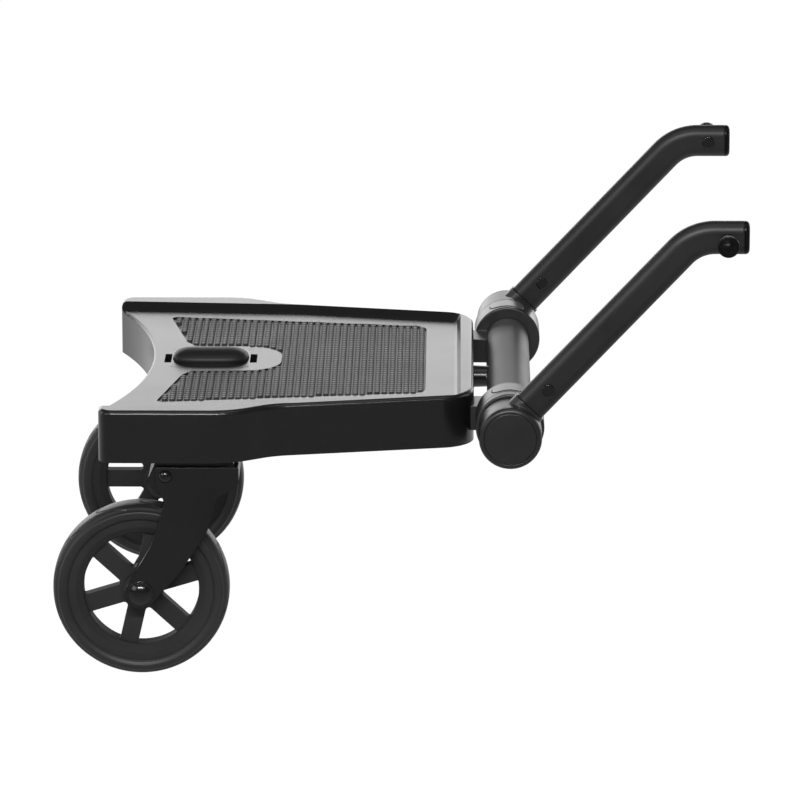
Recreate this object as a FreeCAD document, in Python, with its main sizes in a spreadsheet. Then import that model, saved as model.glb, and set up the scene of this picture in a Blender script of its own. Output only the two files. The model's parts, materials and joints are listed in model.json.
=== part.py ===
"""Buggy board: a ride-on board that hangs behind a stroller.

Millimetres. +X points forward to the stroller, +Z up, and the floor is Z 0. The board is the same
on its left (+Y) and right (-Y) sides, apart from how far each wheel has turned.
"""
import FreeCAD, Part
import math
import os
import re

import Sketcher
from FreeCAD import Placement, Rotation, Vector

# Driving dimensions: alias, value, meaning.
DIMENSIONS = [
    ("wheel_radius", 75, "tyre tread to axle"),
    ("tyre_width", 33, "tyre across its side walls"),
    ("tyre_bead", 27, "tyre across its inner edge"),
    ("tread_round", 8.5, "round of the tyre's shoulder"),
    ("tread_fall", 3, "where the shoulder's corner lies inside the side wall"),
    ("seam_radius", 61.5, "where the tyre meets the rim"),
    ("rim_width", 24.5, "rim across its lips"),
    ("rim_lip", 6, "radial width of the rim's dished lip"),
    ("rim_opening", 49, "radius of the opening between the spokes"),
    ("rim_core", 16, "rim across its inner wall"),
    ("rim_round", 2, "turns of the rim's section"),
    ("spoke_width", 15.6, "each spoke, seen from the side"),
    ("spoke_depth", 11, "each spoke along the axle"),
    ("spoke_fillet", 3, "openings' corners at the hub"),
    ("opening_corner", 1, "openings' corners at the rim"),
    ("spoke_bury", 3, "web inside hub and rim"),
    ("spoke_count", 6, "spokes in a wheel"),
    ("spoke_turn_left", 0, "how far the left wheel has rolled, degrees"),
    ("spoke_turn_right", 17, "how far the right wheel has rolled, degrees"),
    ("hub_radius", 15, "wheel hub"),
    ("hub_length", 32, "wheel hub along the axle"),
    ("hub_edge", 1.5, "rounded ends of the wheel hub"),
    ("wheel_bush_radius", 7, "outside of the wheel's plain bushes"),
    ("wheel_bush_length", 12, "each bush inside the hub"),
    ("bush_flange", 1.2, "flange of a wheel bush"),
    ("bush_flange_radius", 9, "flange of a wheel bush"),
    ("axle_radius", 4, "axle shaft"),
    ("axle_cap_radius", 9.3, "domed axle head"),
    ("axle_cap_height", 4.5, "domed axle head"),
    ("axle_ring_radius", 11.5, "ring under the axle head"),
    ("axle_ring", 1.2, "ring under the axle head"),
    ("axle_short", 1.5, "axle ends this far inside its nut's dome"),
    ("spacer_radius", 6.5, "spacer beside the wheel hub"),
    ("running_gap", 0.05, "radial clearance of a shaft in its bush"),
    ("side_gap", 0.3, "clearance between faces that pass each other"),
    ("seat_gap", 0.02, "clearance of pieces that are pressed together"),
    ("caster_x", -168, "swivel axis of the casters"),
    ("caster_inset", 29.5, "swivel axis inside the deck's side"),
    ("trail", 50, "axle behind the swivel axis"),
    ("fork_gap", 40, "between the fork's side plates"),
    ("fork_plate", 4.5, "each side plate"),
    ("fork_web", 4, "front wall of the fork"),
    ("fork_rise", 111, "fork's top edge above the axle"),
    ("fork_front", 34, "fork's front face ahead of the swivel axis"),
    ("fork_back", 36.3, "fork's top rear corner behind the swivel axis"),
    ("fork_brow", 17, "depth of the fork's upright front face"),
    ("fork_chin", 26, "below the fork's top, where its front edge turns down"),
    ("fork_chin_x", 15, "that turn, ahead of the swivel axis"),
    ("web_depth", 36, "how far down the front wall reaches"),
    ("leg_front_x", 8, "front edge of the leg at its upper end"),
    ("leg_front_rise", 56, "that point above the axle"),
    ("leg_low_x", -17.5, "front edge of the leg at its lower end"),
    ("leg_low_rise", 17, "that point above the axle"),
    ("leg_back_x", -40.5, "rear edge of the leg"),
    ("leg_back_rise", 42, "that point above the axle"),
    ("neck_x", -28.5, "narrowest place under the bolt"),
    ("neck_rise", 80, "that point above the axle"),
    ("shoulder_x", -35.5, "rear edge beside the bolt"),
    ("shoulder_rise", 95, "that point above the axle"),
    ("leg_round", 40, "soft turns of the leg"),
    ("fork_round", 10, "turns at the fork's head"),
    ("fork_corner", 2, "small corners of the fork"),
    ("eye_radius", 13, "rounded lower end round the axle"),
    ("fork_bolt_x", -27.8, "bolt behind the swivel axis"),
    ("fork_bolt_drop", 7.7, "bolt below the fork's top"),
    ("fork_bolt_radius", 3, "bolt shank"),
    ("fork_bolt_head", 5.7, "domed bolt head"),
    ("fork_bolt_dome", 3, "height of the domed head"),
    ("fork_bolt_tail", 5, "bolt beyond the fork"),
    ("fork_nut_height", 4, "hexagon nut"),
    ("head_back", 43.5, "swivel head's rounded lug behind the swivel axis"),
    ("head_lug_drop", 13, "middle of that lug below the fork's top"),
    ("head_depth", 26, "swivel head's underside below the fork's top"),
    ("head_round", 8, "round of the lug"),
    ("head_nose_x", 10, "swivel head's underside ends here, ahead of the axis"),
    ("stem_radius", 6, "upright swivel stem"),
    ("stem_height", 27, "stem above the deck's lower edge"),
    ("stem_seat", 22, "stem below the fork's top"),
    ("stem_bush_radius", 10, "outside of the stem's bush"),
    ("stem_bush_height", 23, "bush inside the deck's boss"),
    ("stem_flange", 1.5, "bush flange under the boss"),
    ("stem_flange_radius", 16, "bush flange under the boss"),
    ("clip_radius", 9, "retaining clip on the stem"),
    ("clip_thickness", 1.2, "retaining clip on the stem"),
    ("clip_groove", 1.2, "depth of the stem's groove"),
    ("deck_gap", 5.3, "deck's lower edge above the fork"),
    ("deck_height", 45, "deck's skirt, lower edge to rim"),
    ("rim_height", 5.8, "rim above the standing floor"),
    ("deck_plate", 6.5, "standing floor's thickness"),
    ("deck_wall", 4, "skirt wall"),
    ("deck_front", 64, "front face of the deck"),
    ("deck_rear", -252, "tips of the rear corners"),
    ("deck_half_rear", 200, "half width over the casters"),
    ("deck_taper", 56, "front face narrower than that, each side"),
    ("deck_swell", 23.4, "waist narrower than that, each side"),
    ("waist_x", -105, "start of the swell"),
    ("swell_x", -140, "end of the swell"),
    ("swell_round", 60, "curves of the swell"),
    ("front_corner", 32, "round of the front corners"),
    ("rear_corner", 12, "round of the rear corners"),
    ("tip_round", 9, "round where the rear hollow meets the tips"),
    ("rear_sag", 37, "depth of the hollow rear edge"),
    ("tip_inset", 27.8, "ends of the hollow inside the deck's sides"),
    ("deck_edge", 4, "rounded top edge of the rim"),
    ("rear_edge", 2.5, "rounded rear edge of the floor"),
    ("front_lip", 11, "flat lip along the front"),
    ("front_slope", 3.2, "sloped wall behind the lip"),
    ("side_lip", 2.2, "rim beside the taper"),
    ("side_slope", 9.6, "sloped wall inside the rim"),
    ("waist_lip", 6.2, "rim at the waist"),
    ("swell_lip", 2, "rim beside the casters"),
    ("floor_turn", 17, "floor's edge turns this far ahead of the waist"),
    ("floor_corner", 6, "round of the floor's front corners"),
    ("cove_rise", 1, "soft foot of the sloped wall"),
    ("cove_run", 2.6, "soft foot of the sloped wall"),
    ("brim_corner", 9, "round of the recess's upper front corners"),
    ("rib", 3, "ribs under the deck"),
    ("rib_pitch", 57, "rib to rib"),
    ("rib_rise", 5, "ribs stop this far above the skirt's lower edge"),
    ("boss_radius", 22, "caster boss under the deck"),
    ("boss_room", 5, "room for the clip above the bush"),
    ("mat_thickness", 1.6, "rubber mat without its studs"),
    ("mat_sink", 1.5, "mat's face below the floor"),
    ("mat_gap", 0.3, "gap round the mat"),
    ("mat_front", 22.6, "front edge of the mat"),
    ("mat_rear", -206, "rear corners of the mat"),
    ("mat_front_inset", 85.2, "recess's front corners inside the deck's sides"),
    ("mat_rear_inset", 52.6, "recess's rear corners inside the deck's sides"),
    ("tread_radius", 2.25, "mat's round studs"),
    ("tread_height", 1.5, "mat's studs above its face"),
    ("tread_pitch_x", 6.2, "stud to stud along X"),
    ("tread_pitch_y", 6.3, "stud to stud along Y"),
    ("tread_start", 4, "first row of studs behind the mat's front edge"),
    ("mat_corner", 14, "round of the mat's front corners"),
    ("mat_heel", 5, "round of the mat's rear corners"),
    ("notch_mouth_x", -188, "mat's rear edge beside the grip"),
    ("notch_mouth_half", 58, "half width there"),
    ("notch_x", -180, "notch round the grip begins"),
    ("notch_half", 43, "half width of the notch"),
    ("notch_tip", -103, "front end of the notch"),
    ("notch_taper", 2, "notch narrower at its front end"),
    ("notch_round", 32, "rounded front end of the notch"),
    ("grip_x", -164.6, "middle of the lift grip"),
    ("grip_length", 65, "lift grip"),
    ("grip_width", 31, "lift grip"),
    ("grip_height", 15, "lift grip"),
    ("grip_sink", 6.6, "grip's underside below the floor"),
    ("grip_corner", 13, "grip's rounded ends"),
    ("grip_edge", 6, "grip's rounded lower edges"),
    ("grip_crown", 8.5, "grip's rounded upper edges"),
    ("dish_depth", 7.8, "dished hollow under the grip"),
    ("dish_half", 30, "half width of that hollow"),
    ("dish_end", 0.9, "hollow beyond each end of the grip"),
    ("dish_pad", 13, "thicker floor under the hollow"),
    ("slot_length", 6, "slots beyond the grip's ends, along X"),
    ("slot_width", 29, "slots beyond the grip's ends, along Y"),
    ("slot_reach", 37.2, "slots from the middle of the grip"),
    ("strap_reach", 22, "webbing legs from the middle of the grip"),
    ("strap_width", 25, "webbing"),
    ("strap_thickness", 1.8, "webbing"),
    ("strap_room", 1.2, "room round a webbing leg in its slot"),
    ("strap_bite", 6, "webbing held inside the grip"),
    ("grip_travel", 16, "how far the grip lifts"),
    ("stop_radius", 2.5, "stop bar in the end of a webbing leg"),
    ("stop_length", 36, "stop bar"),
    ("hinge_reach", 30.5, "cross tube's axis ahead of the deck"),
    ("hinge_rise", 23.7, "cross tube's axis above the deck's lower edge"),
    ("tube_radius", 19, "cross tube"),
    ("tube_wall", 2.5, "cross tube"),
    ("collar_radius", 29, "hinge collar"),
    ("collar_inset", 70, "collar's inner face inside the deck's sides"),
    ("collar_width", 30, "collar along the tube"),
    ("band_width", 11, "band outside the collar"),
    ("collar_edge", 1.5, "broken edges of collar, band and hub"),
    ("collar_seam", 0.6, "rounded edges where collar and band meet"),
    ("groove", 0.8, "open gap between band and arm hub"),
    ("lug_length", 33, "bracket block inside the collar"),
    ("lug_low", 13, "bracket block below the tube's axis"),
    ("lug_height", 21, "bracket block"),
    ("bracket_screw_radius", 2.5, "screws from the deck into a bracket"),
    ("bracket_screw_head", 4.5, "their heads"),
    ("bracket_screw_cap", 2.6, "height of their heads"),
    ("bracket_screw_bite", 9, "their length in the bracket"),
    ("bracket_screw_inset", 5, "screws from the block's inner end"),
    ("bracket_screw_pitch", 10.5, "upper screw to lower screw"),
    ("boss_tip", 8.2, "centre boss at the tube"),
    ("boss_root", 9.6, "centre boss at the deck"),
    ("button_length", 30, "release button round the collar"),
    ("button_width", 20, "release button along the tube"),
    ("button_corner", 8, "release button's corners"),
    ("button_inset", 16, "release button's middle from the collar's inner face"),
    ("button_gap", 0.6, "gap round the button"),
    ("button_proud", 0.5, "button above the collar"),
    ("button_rise", 23.6, "button's underside above the tube's axis"),
    ("button_well", 20.8, "floor of the button's well above the tube's axis"),
    ("spring_radius", 4.5, "button spring, outside"),
    ("spring_wire", 0.9, "button spring's wire"),
    ("hub_collar_radius", 26.6, "arm hub"),
    ("hub_width", 30.4, "arm hub along the tube"),
    ("end_cap_height", 6, "cap on the arm hub"),
    ("end_cap_round", 4, "round of the cap"),
    ("end_disc", 21.7, "flat disc inside the cap's groove"),
    ("end_groove", 0.8, "cap's ring groove"),
    ("hub_screw_radius", 4, "screw along the tube's axis"),
    ("hub_screw_head", 9, "its head"),
    ("hub_screw_cap", 3, "height of its head"),
    ("hub_end_wall", 2, "hub's wall under that head"),
    ("tube_plug", 14, "solid plug in each end of the cross tube"),
    ("arm_angle", 46.9, "arm above level, degrees"),
    ("arm_offset", 4.05, "arm's line passes this far behind the tube's axis"),
    ("arm_base", 28.3, "arm's lower end from the tube's axis"),
    ("arm_run", 199.8, "arm's lower end to its bend"),
    ("arm_tip_run", 40.9, "bend to the arm's upper end"),
    ("arm_bend", 39.5, "radius of the bend"),
    ("arm_height", 28, "oval arm tube"),
    ("arm_width", 18, "oval arm tube"),
    ("arm_round", 8.4, "oval arm tube's corners"),
    ("arm_wall", 1.6, "oval arm tube"),
    ("flare", 1.4, "hub's neck stands proud of the arm tube by this"),
    ("spigot_length", 40, "hub's spigot inside the arm tube"),
    ("spigot_gap", 0.2, "clearance of spigots in the arm tube"),
    ("plug_height", 4.7, "plug on the arm's end"),
    ("plug_depth", 8, "plug inside the arm's end"),
    ("plug_round", 3.2, "rounded end of the plug"),
    ("stud_reach", 26.6, "stud beyond the bend"),
    ("stud_radius", 5.3, "stud's post"),
    ("stud_post", 23, "stud's post"),
    ("stud_head_radius", 9.1, "stud's mushroom head"),
    ("stud_head", 4.4, "stud's mushroom head"),
    ("stud_edge", 1, "rounded edge of the head"),
    ("stud_cap_radius", 5.8, "dome in the middle of the head"),
    ("stud_dome", 2.6, "height of that dome"),
    ("stud_tail", 3.6, "stud's tail inside the tube, radius"),
    ("stud_screw_radius", 2.4, "screw from the arm's inner side"),
    ("stud_screw_head", 5.6, "its head"),
    ("stud_screw_cap", 1.6, "height of its head"),
    ("rivet_reach", 50.4, "rivet through arm and spigot from the tube's axis"),
    ("rivet_radius", 2.5, "rivet shank"),
    ("rivet_head", 5.2, "rivet heads"),
    ("rivet_cap", 1.6, "height of the rivet heads"),
    ("screw_edge", 1, "rounded edges of rivet and screw heads"),
]

# Places that several pieces share, as expressions of the dimensions.
FRONT_HALF = "(deck_half_rear - deck_taper)"
WAIST_HALF = "(deck_half_rear - deck_swell)"
TIP_HALF = "(deck_half_rear - tip_inset)"
REAR_ARC = f"(({TIP_HALF} * {TIP_HALF} + rear_sag * rear_sag) / (2 * rear_sag))"
REAR_MID = "(deck_rear + rear_sag)"
CASTER_Y = "(deck_half_rear - caster_inset)"
AXLE_X = "(caster_x - trail)"
AXLE_Z = "wheel_radius"
FORK_TOP = "(wheel_radius + fork_rise)"
FORK_HALF = "(fork_gap / 2 + fork_plate)"
DECK_LOW = f"({FORK_TOP} + deck_gap)"
DECK_TOP = f"({DECK_LOW} + deck_height)"
FLOOR_TOP = f"({DECK_TOP} - rim_height)"
FLOOR_LOW = f"({FLOOR_TOP} - deck_plate)"
PAD_LOW = f"({FLOOR_TOP} - dish_pad)"
HEAD_TOP = f"({DECK_LOW} - stem_flange - side_gap)"
HINGE_X = "(deck_front + hinge_reach)"
HINGE_Z = f"({DECK_LOW} + hinge_rise)"
COLLAR_INNER = "(deck_half_rear - collar_inset)"
COLLAR_OUTER = f"({COLLAR_INNER} + collar_width)"
BAND_OUTER = f"({COLLAR_OUTER} + band_width)"
LUG_INNER = f"({COLLAR_INNER} - lug_length)"
SCREW_Y = f"({LUG_INNER} + bracket_screw_inset)"
BUTTON_Y = f"({COLLAR_INNER} + button_inset)"
HUB_INNER = f"({BAND_OUTER} + groove)"
HUB_OUTER = f"({HUB_INNER} + hub_width)"
ARM_Y = f"({HUB_INNER} + hub_width / 2)"
BEND_X = f"({HINGE_X} + (arm_base + arm_run) * cos(arm_angle) - arm_offset * sin(arm_angle))"
BEND_Z = f"({HINGE_Z} + (arm_base + arm_run) * sin(arm_angle) + arm_offset * cos(arm_angle))"
STUD_X = f"({BEND_X} + stud_reach)"
RIVET_X = f"({HINGE_X} + rivet_reach * cos(arm_angle) - arm_offset * sin(arm_angle))"
RIVET_Z = f"({HINGE_Z} + rivet_reach * sin(arm_angle) + arm_offset * cos(arm_angle))"
ARM_OUTER = f"({ARM_Y} + arm_width / 2)"
ARM_INNER = f"({ARM_Y} - arm_width / 2)"
MAT_TOP = f"({FLOOR_TOP} - mat_sink)"
MAT_LOW = f"({MAT_TOP} - mat_thickness)"
GRIP_LOW = f"({FLOOR_TOP} - grip_sink)"
FAR = "400"

doc = FreeCAD.newDocument("buggy_board")
sheet = doc.addObject("Spreadsheet::Sheet", "dims")
for row, (alias, number, meaning) in enumerate(DIMENSIONS, start=1):
    sheet.set(f"A{row}", meaning)
    sheet.set(f"B{row}", str(number))
    sheet.setAlias(f"B{row}", alias)
doc.recompute()

WORD = re.compile(r"\b[a-z_]\w*\b(?!\()")
pieces = {}


def bound(text):
    """An expression of dimension names, written for objects outside the sheet."""
    return WORD.sub(lambda word: "dims." + word.group(0), text)


def number(text):
    """What an expression of dimension names comes to."""
    return float(sheet.evalExpression(bound(text)))


def bind(thing, **properties):
    for name, text in properties.items():
        thing.setExpression(name, bound(text))
    return thing


def place(thing, x="0", y="0", z="0"):
    for axis, text in zip("xyz", (x, y, z)):
        thing.setExpression(f"Placement.Base.{axis}", bound(text))
    return thing


def turn(thing, axis, angle):
    """Turn an object about an axis through its own origin."""
    thing.Placement = Placement(Vector(), Rotation(Vector(*axis), number(angle)))
    thing.setExpression("Placement.Rotation.Angle", bound(angle))
    return thing


def piece(thing, label):
    """Keep an object as a finished sub-part."""
    thing.Label = label
    pieces[label] = thing
    return thing


def new_body(name):
    return doc.addObject("PartDesign::Body", name)


def new_sketch(body, name, plane, offset="0"):
    sketch = body.newObject("Sketcher::SketchObject", name)
    support = next(part for part in body.Origin.OriginFeatures if part.Role == plane)
    sketch.AttachmentSupport = (support, [""])
    sketch.MapMode = "FlatFace"
    sketch.setExpression("AttachmentOffset.Base.z", bound(offset))
    return sketch


def pin_point(sketch, geometry, position, x, y):
    """Hold a sketch point at two expressions, measured from the sketch's origin."""
    for kind, text in (("DistanceX", x), ("DistanceY", y)):
        where = (-1, 1, geometry, position)
        index = sketch.addConstraint(Sketcher.Constraint(kind, *where, number(text)))
        sketch.setExpression(f"Constraints[{index}]", bound(text))


def set_radius(sketch, geometry, text):
    index = sketch.addConstraint(Sketcher.Constraint("Radius", geometry, number(text)))
    sketch.setExpression(f"Constraints[{index}]", bound(text))


def draw_circle(sketch, x, y, radius):
    circle = Part.Circle(Vector(number(x), number(y), 0), Vector(0, 0, 1), number(radius))
    geometry = sketch.addGeometry(circle)
    pin_point(sketch, geometry, 3, x, y)
    set_radius(sketch, geometry, radius)


def corner_arc(before, corner, after, radius):
    """Tangent points and the arc that rounds one corner of an outline."""
    towards = (before - corner).normalize()
    away = (after - corner).normalize()
    half = towards.getAngle(away) / 2
    reach = radius / math.tan(half)
    middle = (towards + away).normalize() * (radius / math.sin(half))
    centre = corner + middle
    first = corner + towards * reach
    last = corner + away * reach
    left_turn = (corner - before).cross(after - corner).z > 0
    start, end = (first, last) if left_turn else (last, first)
    angles = [math.atan2(point.y - centre.y, point.x - centre.x) for point in (start, end)]
    arc = Part.ArcOfCircle(Part.Circle(centre, Vector(0, 0, 1), radius), *angles)
    return first, last, arc, left_turn


def draw_outline(sketch, corners, closed=True):
    """Draw straight edges through corners (x, y) or (x, y, radius of its round)."""
    points = [Vector(number(corner[0]), number(corner[1]), 0) for corner in corners]
    count = len(points)
    starts, ends, arcs = list(points), list(points), {}
    for i, corner in enumerate(corners):
        inside = closed or 0 < i < count - 1
        if len(corner) == 3 and inside:
            before, after = points[i - 1], points[(i + 1) % count]
            rounded = corner_arc(before, points[i], after, number(corner[2]))
            ends[i], starts[i], arcs[i] = rounded[0], rounded[1], rounded[2:]
    edges = count if closed else count - 1
    lines = []
    for i in range(edges):
        segment = Part.LineSegment(starts[i], ends[(i + 1) % count])
        lines.append(sketch.addGeometry(segment))
    for i, corner in enumerate(corners):
        after = lines[i] if i < edges else None
        before = lines[i - 1] if closed or i > 0 else None
        if i in arcs:
            arc, left_turn = arcs[i]
            geometry = sketch.addGeometry(arc)
            first, last = (1, 2) if left_turn else (2, 1)
            sketch.addConstraint(Sketcher.Constraint("Tangent", before, 2, geometry, first))
            sketch.addConstraint(Sketcher.Constraint("Tangent", geometry, last, after, 1))
            set_radius(sketch, geometry, corner[2])
            mark = sketch.addGeometry(Part.Point(points[i]), True)
            pin_point(sketch, mark, 1, corner[0], corner[1])
            sketch.addConstraint(Sketcher.Constraint("PointOnObject", mark, 1, before))
            sketch.addConstraint(Sketcher.Constraint("PointOnObject", mark, 1, after))
            continue
        if after is not None:
            pin_point(sketch, after, 1, corner[0], corner[1])
        else:
            pin_point(sketch, before, 2, corner[0], corner[1])
        if before is not None and after is not None:
            sketch.addConstraint(Sketcher.Constraint("Coincident", before, 2, after, 1))


def mirrored(half):
    """A closed outline from its upper half: the lower half repeats it with y turned over."""
    other = [(corner[0], f"-({corner[1]})", *corner[2:]) for corner in reversed(half)]
    return list(half) + other


def rectangle(x, y, radius=None):
    """Corners of a rectangle about the origin, from its half sizes."""
    signs = ((1, 1), (-1, 1), (-1, -1), (1, -1))
    rounded = () if radius is None else (radius,)
    return [(f"{a} * ({x})", f"{b} * ({y})", *rounded) for a, b in signs]


def extrude(body, kind, name, sketch, length, symmetric=False, reverse=False):
    """A Pad or Pocket of a sketch."""
    feature = body.newObject(f"PartDesign::{kind}", name)
    feature.Profile = sketch
    feature.SideType = "Symmetric" if symmetric else "One side"
    feature.Reversed = reverse
    bind(feature, Length=length)
    return feature


def revolve(body, name, corners, plane="XY_Plane"):
    """Turn an outline of (radius, height) about the sketch's upright axis."""
    sketch = new_sketch(body, name + "_profile", plane)
    draw_outline(sketch, corners)
    feature = body.newObject("PartDesign::Revolution", name)
    feature.Profile = sketch
    feature.ReferenceAxis = (sketch, ["V_Axis"])
    feature.Angle = 360
    return feature


def padded(name, corners, low, high, plane="XY_Plane"):
    """A body with one outline padded between two levels."""
    body = new_body(name)
    sketch = new_sketch(body, name + "_outline", plane, low)
    draw_outline(sketch, corners)
    extrude(body, "Pad", name + "_pad", sketch, f"({high}) - ({low})")
    return body


def fillet(body, name, radius, wanted):
    """Round the edges of the body's last feature that pass a test."""
    doc.recompute()
    tip = body.Tip
    names = [f"Edge{i}" for i, edge in enumerate(tip.Shape.Edges, start=1) if wanted(edge)]
    feature = body.newObject("PartDesign::Fillet", name)
    feature.Base = (tip, names)
    bind(feature, Radius=radius)
    return feature


def box(name, x, y, z):
    """A box from the low and high end of each side."""
    block = doc.addObject("Part::Box", name)
    bind(block, Length=f"({x[1]}) - ({x[0]})", Width=f"({y[1]}) - ({y[0]})",
         Height=f"({z[1]}) - ({z[0]})")
    return place(block, x[0], y[0], z[0])


def upright(name, radius, x, y, low, high):
    """A cylinder along Z."""
    rod = doc.addObject("Part::Cylinder", name)
    bind(rod, Radius=radius, Height=f"({high}) - ({low})")
    return place(rod, x, y, low)


def across(name, radius, x, z, side, inner, outer):
    """A cylinder along Y on one side of the board, between two distances from its middle."""
    rod = doc.addObject("Part::Cylinder", name)
    bind(rod, Radius=radius, Height=f"({outer}) - ({inner})")
    rod.Placement = Placement(Vector(), Rotation(Vector(1, 0, 0), -90))
    low = inner if side > 0 else f"-({outer})"
    return place(rod, x, low, z)


def along(name, radius, y, z, low, high):
    """A cylinder along X."""
    rod = doc.addObject("Part::Cylinder", name)
    bind(rod, Radius=radius, Height=f"({high}) - ({low})")
    rod.Placement = Placement(Vector(), Rotation(Vector(0, 1, 0), 90))
    return place(rod, low, y, z)


def fused(name, things):
    joined = doc.addObject("Part::MultiFuse", name)
    joined.Shapes = things
    return joined


def common(name, things):
    shared = doc.addObject("Part::MultiCommon", name)
    shared.Shapes = things
    return shared


def cut(name, base, tool):
    rest = doc.addObject("Part::Cut", name)
    rest.Base = base
    rest.Tool = tool
    return rest


def lathe_y(name, side, corners, x, y, z):
    """A turned piece along Y. Corners are (radius, distance outwards from y)."""
    body = new_body(name)
    profile = [(radius, f"{side} * ({out})", *rest) for radius, out, *rest in corners]
    revolve(body, name + "_turned", profile)
    return place(body, x, f"{side} * ({y})", z)


def dome(radius, low, height, way=1):
    """Corners of a round cap from its edge to its middle, upwards or downwards."""
    square = f"({radius} * {radius} + {height} * {height})"
    top = f"{low} + {way} * {height}"
    return [(radius, low), (f"{square} / (2 * {radius})", top, f"0.96 * {square} / (2 * {height})"),
            ("0", top)]


def lathe_z(name, corners, x, y):
    """A turned piece along Z. Corners are (radius, height)."""
    body = new_body(name)
    revolve(body, name + "_turned", corners, "XZ_Plane")
    return place(body, x, y, "0")


# Deck: outline, hollow underside, ribs, bosses, grip hollow.

def deck_outline(inset="0"):
    return mirrored([
        (f"deck_front - {inset}", f"{FRONT_HALF} - {inset}", f"front_corner - {inset}"),
        ("waist_x", f"{WAIST_HALF} - {inset}", f"swell_round + {inset}"),
        ("swell_x", f"deck_half_rear - {inset}", f"swell_round - {inset}"),
        (f"deck_rear + {inset}", f"deck_half_rear - {inset}", f"rear_corner - {inset}"),
    ])


def mat_outline(inset):
    """The mat's recess, or the mat itself where inset."""
    return mirrored([
        (f"mat_front - {inset}", f"deck_half_rear - mat_front_inset - {inset}", "mat_corner"),
        (f"mat_rear + {inset}", f"deck_half_rear - mat_rear_inset - {inset}", "mat_heel"),
        (f"notch_mouth_x + {inset}", f"notch_mouth_half + {inset}", "mat_corner"),
        (f"notch_x + {inset}", f"notch_half + {inset}", "mat_heel"),
        (f"notch_tip + {inset}", f"notch_half - notch_taper + {inset}", "notch_round"),
    ])


def cut_rear_hollow(body, name, inset):
    """Cut the deck's hollow rear edge, moved forward by a wall where inset."""
    sketch = new_sketch(body, name + "_sketch", "XY_Plane", DECK_LOW)
    draw_circle(sketch, f"{REAR_MID} - {REAR_ARC}", "0", f"{REAR_ARC} + {inset}")
    extrude(body, "Pocket", name, sketch, f"2 * {FAR}", symmetric=True)


def floor_outline(body, name, level, front, side, corner):
    """The recess's outline at one level, inside the lip and rim by two slopes."""
    sketch = new_sketch(body, name, "XY_Plane", level)
    draw_outline(sketch, mirrored([
        (f"deck_front - front_lip - ({front})", f"{FRONT_HALF} - side_lip - ({side})", corner),
        ("waist_x + floor_turn", f"{WAIST_HALF} - waist_lip - ({side})", "swell_round"),
        ("2 * deck_rear", f"deck_half_rear - swell_lip - ({side})"),
    ]))
    return sketch


def deck_blank():
    """The deck's outer block with its rounded edges and its recessed standing floor."""
    body = padded("deck_blank", deck_outline(), DECK_LOW, DECK_TOP)
    cut_rear_hollow(body, "rear_hollow", "0")
    top = number(DECK_TOP)
    tip_x = number("deck_rear")

    def is_tip(edge):
        box_ = edge.BoundBox
        return box_.ZLength > 1 and abs(box_.XMin - tip_x) < 0.01 and abs(box_.YMin) < number(
            "deck_half_rear - rear_corner") - 1

    def on_top(edge):
        return abs(edge.BoundBox.ZMin - top) < 0.01

    fillet(body, "tip_rounds", "tip_round", is_tip)
    fillet(body, "rim_rounds", "deck_edge", on_top)
    foot = floor_outline(body, "floor_foot", FLOOR_TOP, "front_slope + cove_run", "side_slope + cove_run",
                         "floor_corner")
    cove = floor_outline(body, "floor_cove", f"{FLOOR_TOP} + cove_rise", "front_slope", "side_slope",
                         "floor_corner")
    brim = floor_outline(body, "floor_brim", DECK_TOP, "0", "0", "brim_corner")
    recess = body.newObject("PartDesign::SubtractiveLoft", "floor_recess")
    recess.Profile = foot
    recess.Sections = [cove, brim]
    recess.Ruled = True
    floor = number(FLOOR_TOP)
    wide = number(REAR_ARC) / 2

    def on_floor(edge):
        return edge.BoundBox.ZLength < 0.01 and abs(edge.BoundBox.ZMin - floor) < 0.01

    def is_rear(edge):
        return edge.Curve.TypeId == "Part::GeomCircle" and edge.Curve.Radius > wide

    fillet(body, "floor_rear_round", "rear_edge", lambda edge: on_floor(edge) and is_rear(edge))
    sketch = new_sketch(body, "mat_recess_outline", "XY_Plane", FLOOR_TOP)
    draw_outline(sketch, mat_outline("0"))
    extrude(body, "Pocket", "mat_recess", sketch, "mat_sink + mat_thickness")
    return body


def deck_core():
    """The hollow under the deck."""
    body = padded("deck_core", deck_outline("deck_wall"), f"{DECK_LOW} - 1", FLOOR_LOW)
    cut_rear_hollow(body, "core_hollow", "deck_wall")
    return body


def deck_ribs(core):
    rib_z = (f"{DECK_LOW} + rib_rise", f"{FLOOR_LOW} + 1")
    ribs = []
    for step in (-2.5, -1.5, -0.5, 0.5, 1.5, 2.5):
        middle = f"{step} * rib_pitch"
        ribs.append(box("rib_along", (f"-{FAR}", FAR), (f"{middle} - rib / 2", f"{middle} + rib / 2"),
                        rib_z))
    for step in (-1, 0, 1, 2, 3):
        middle = f"grip_x + {step} * rib_pitch"
        ribs.append(box("rib_across", (f"{middle} - rib / 2", f"{middle} + rib / 2"), (f"-{FAR}", FAR),
                        rib_z))
    room = ("grip_x - strap_reach - 8", "grip_x + strap_reach + 8")
    half = "stop_length / 2 + 4"
    well = box("strap_well", room, (f"-({half})", half), (DECK_LOW, PAD_LOW))
    return cut("deck_rib_set", common("deck_rib_grid", [fused("rib_grid", ribs), core]), well)


def grip_hollow():
    """Long shallow dish under the grip, cut by a wide cylinder."""
    radius = "(dish_half * dish_half + dish_depth * dish_depth) / (2 * dish_depth)"
    reach = "(grip_length / 2 + dish_end)"
    return along("grip_dish", radius, "0", f"{FLOOR_TOP} - dish_depth + {radius}",
                 f"grip_x - {reach}", f"grip_x + {reach}")


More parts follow.
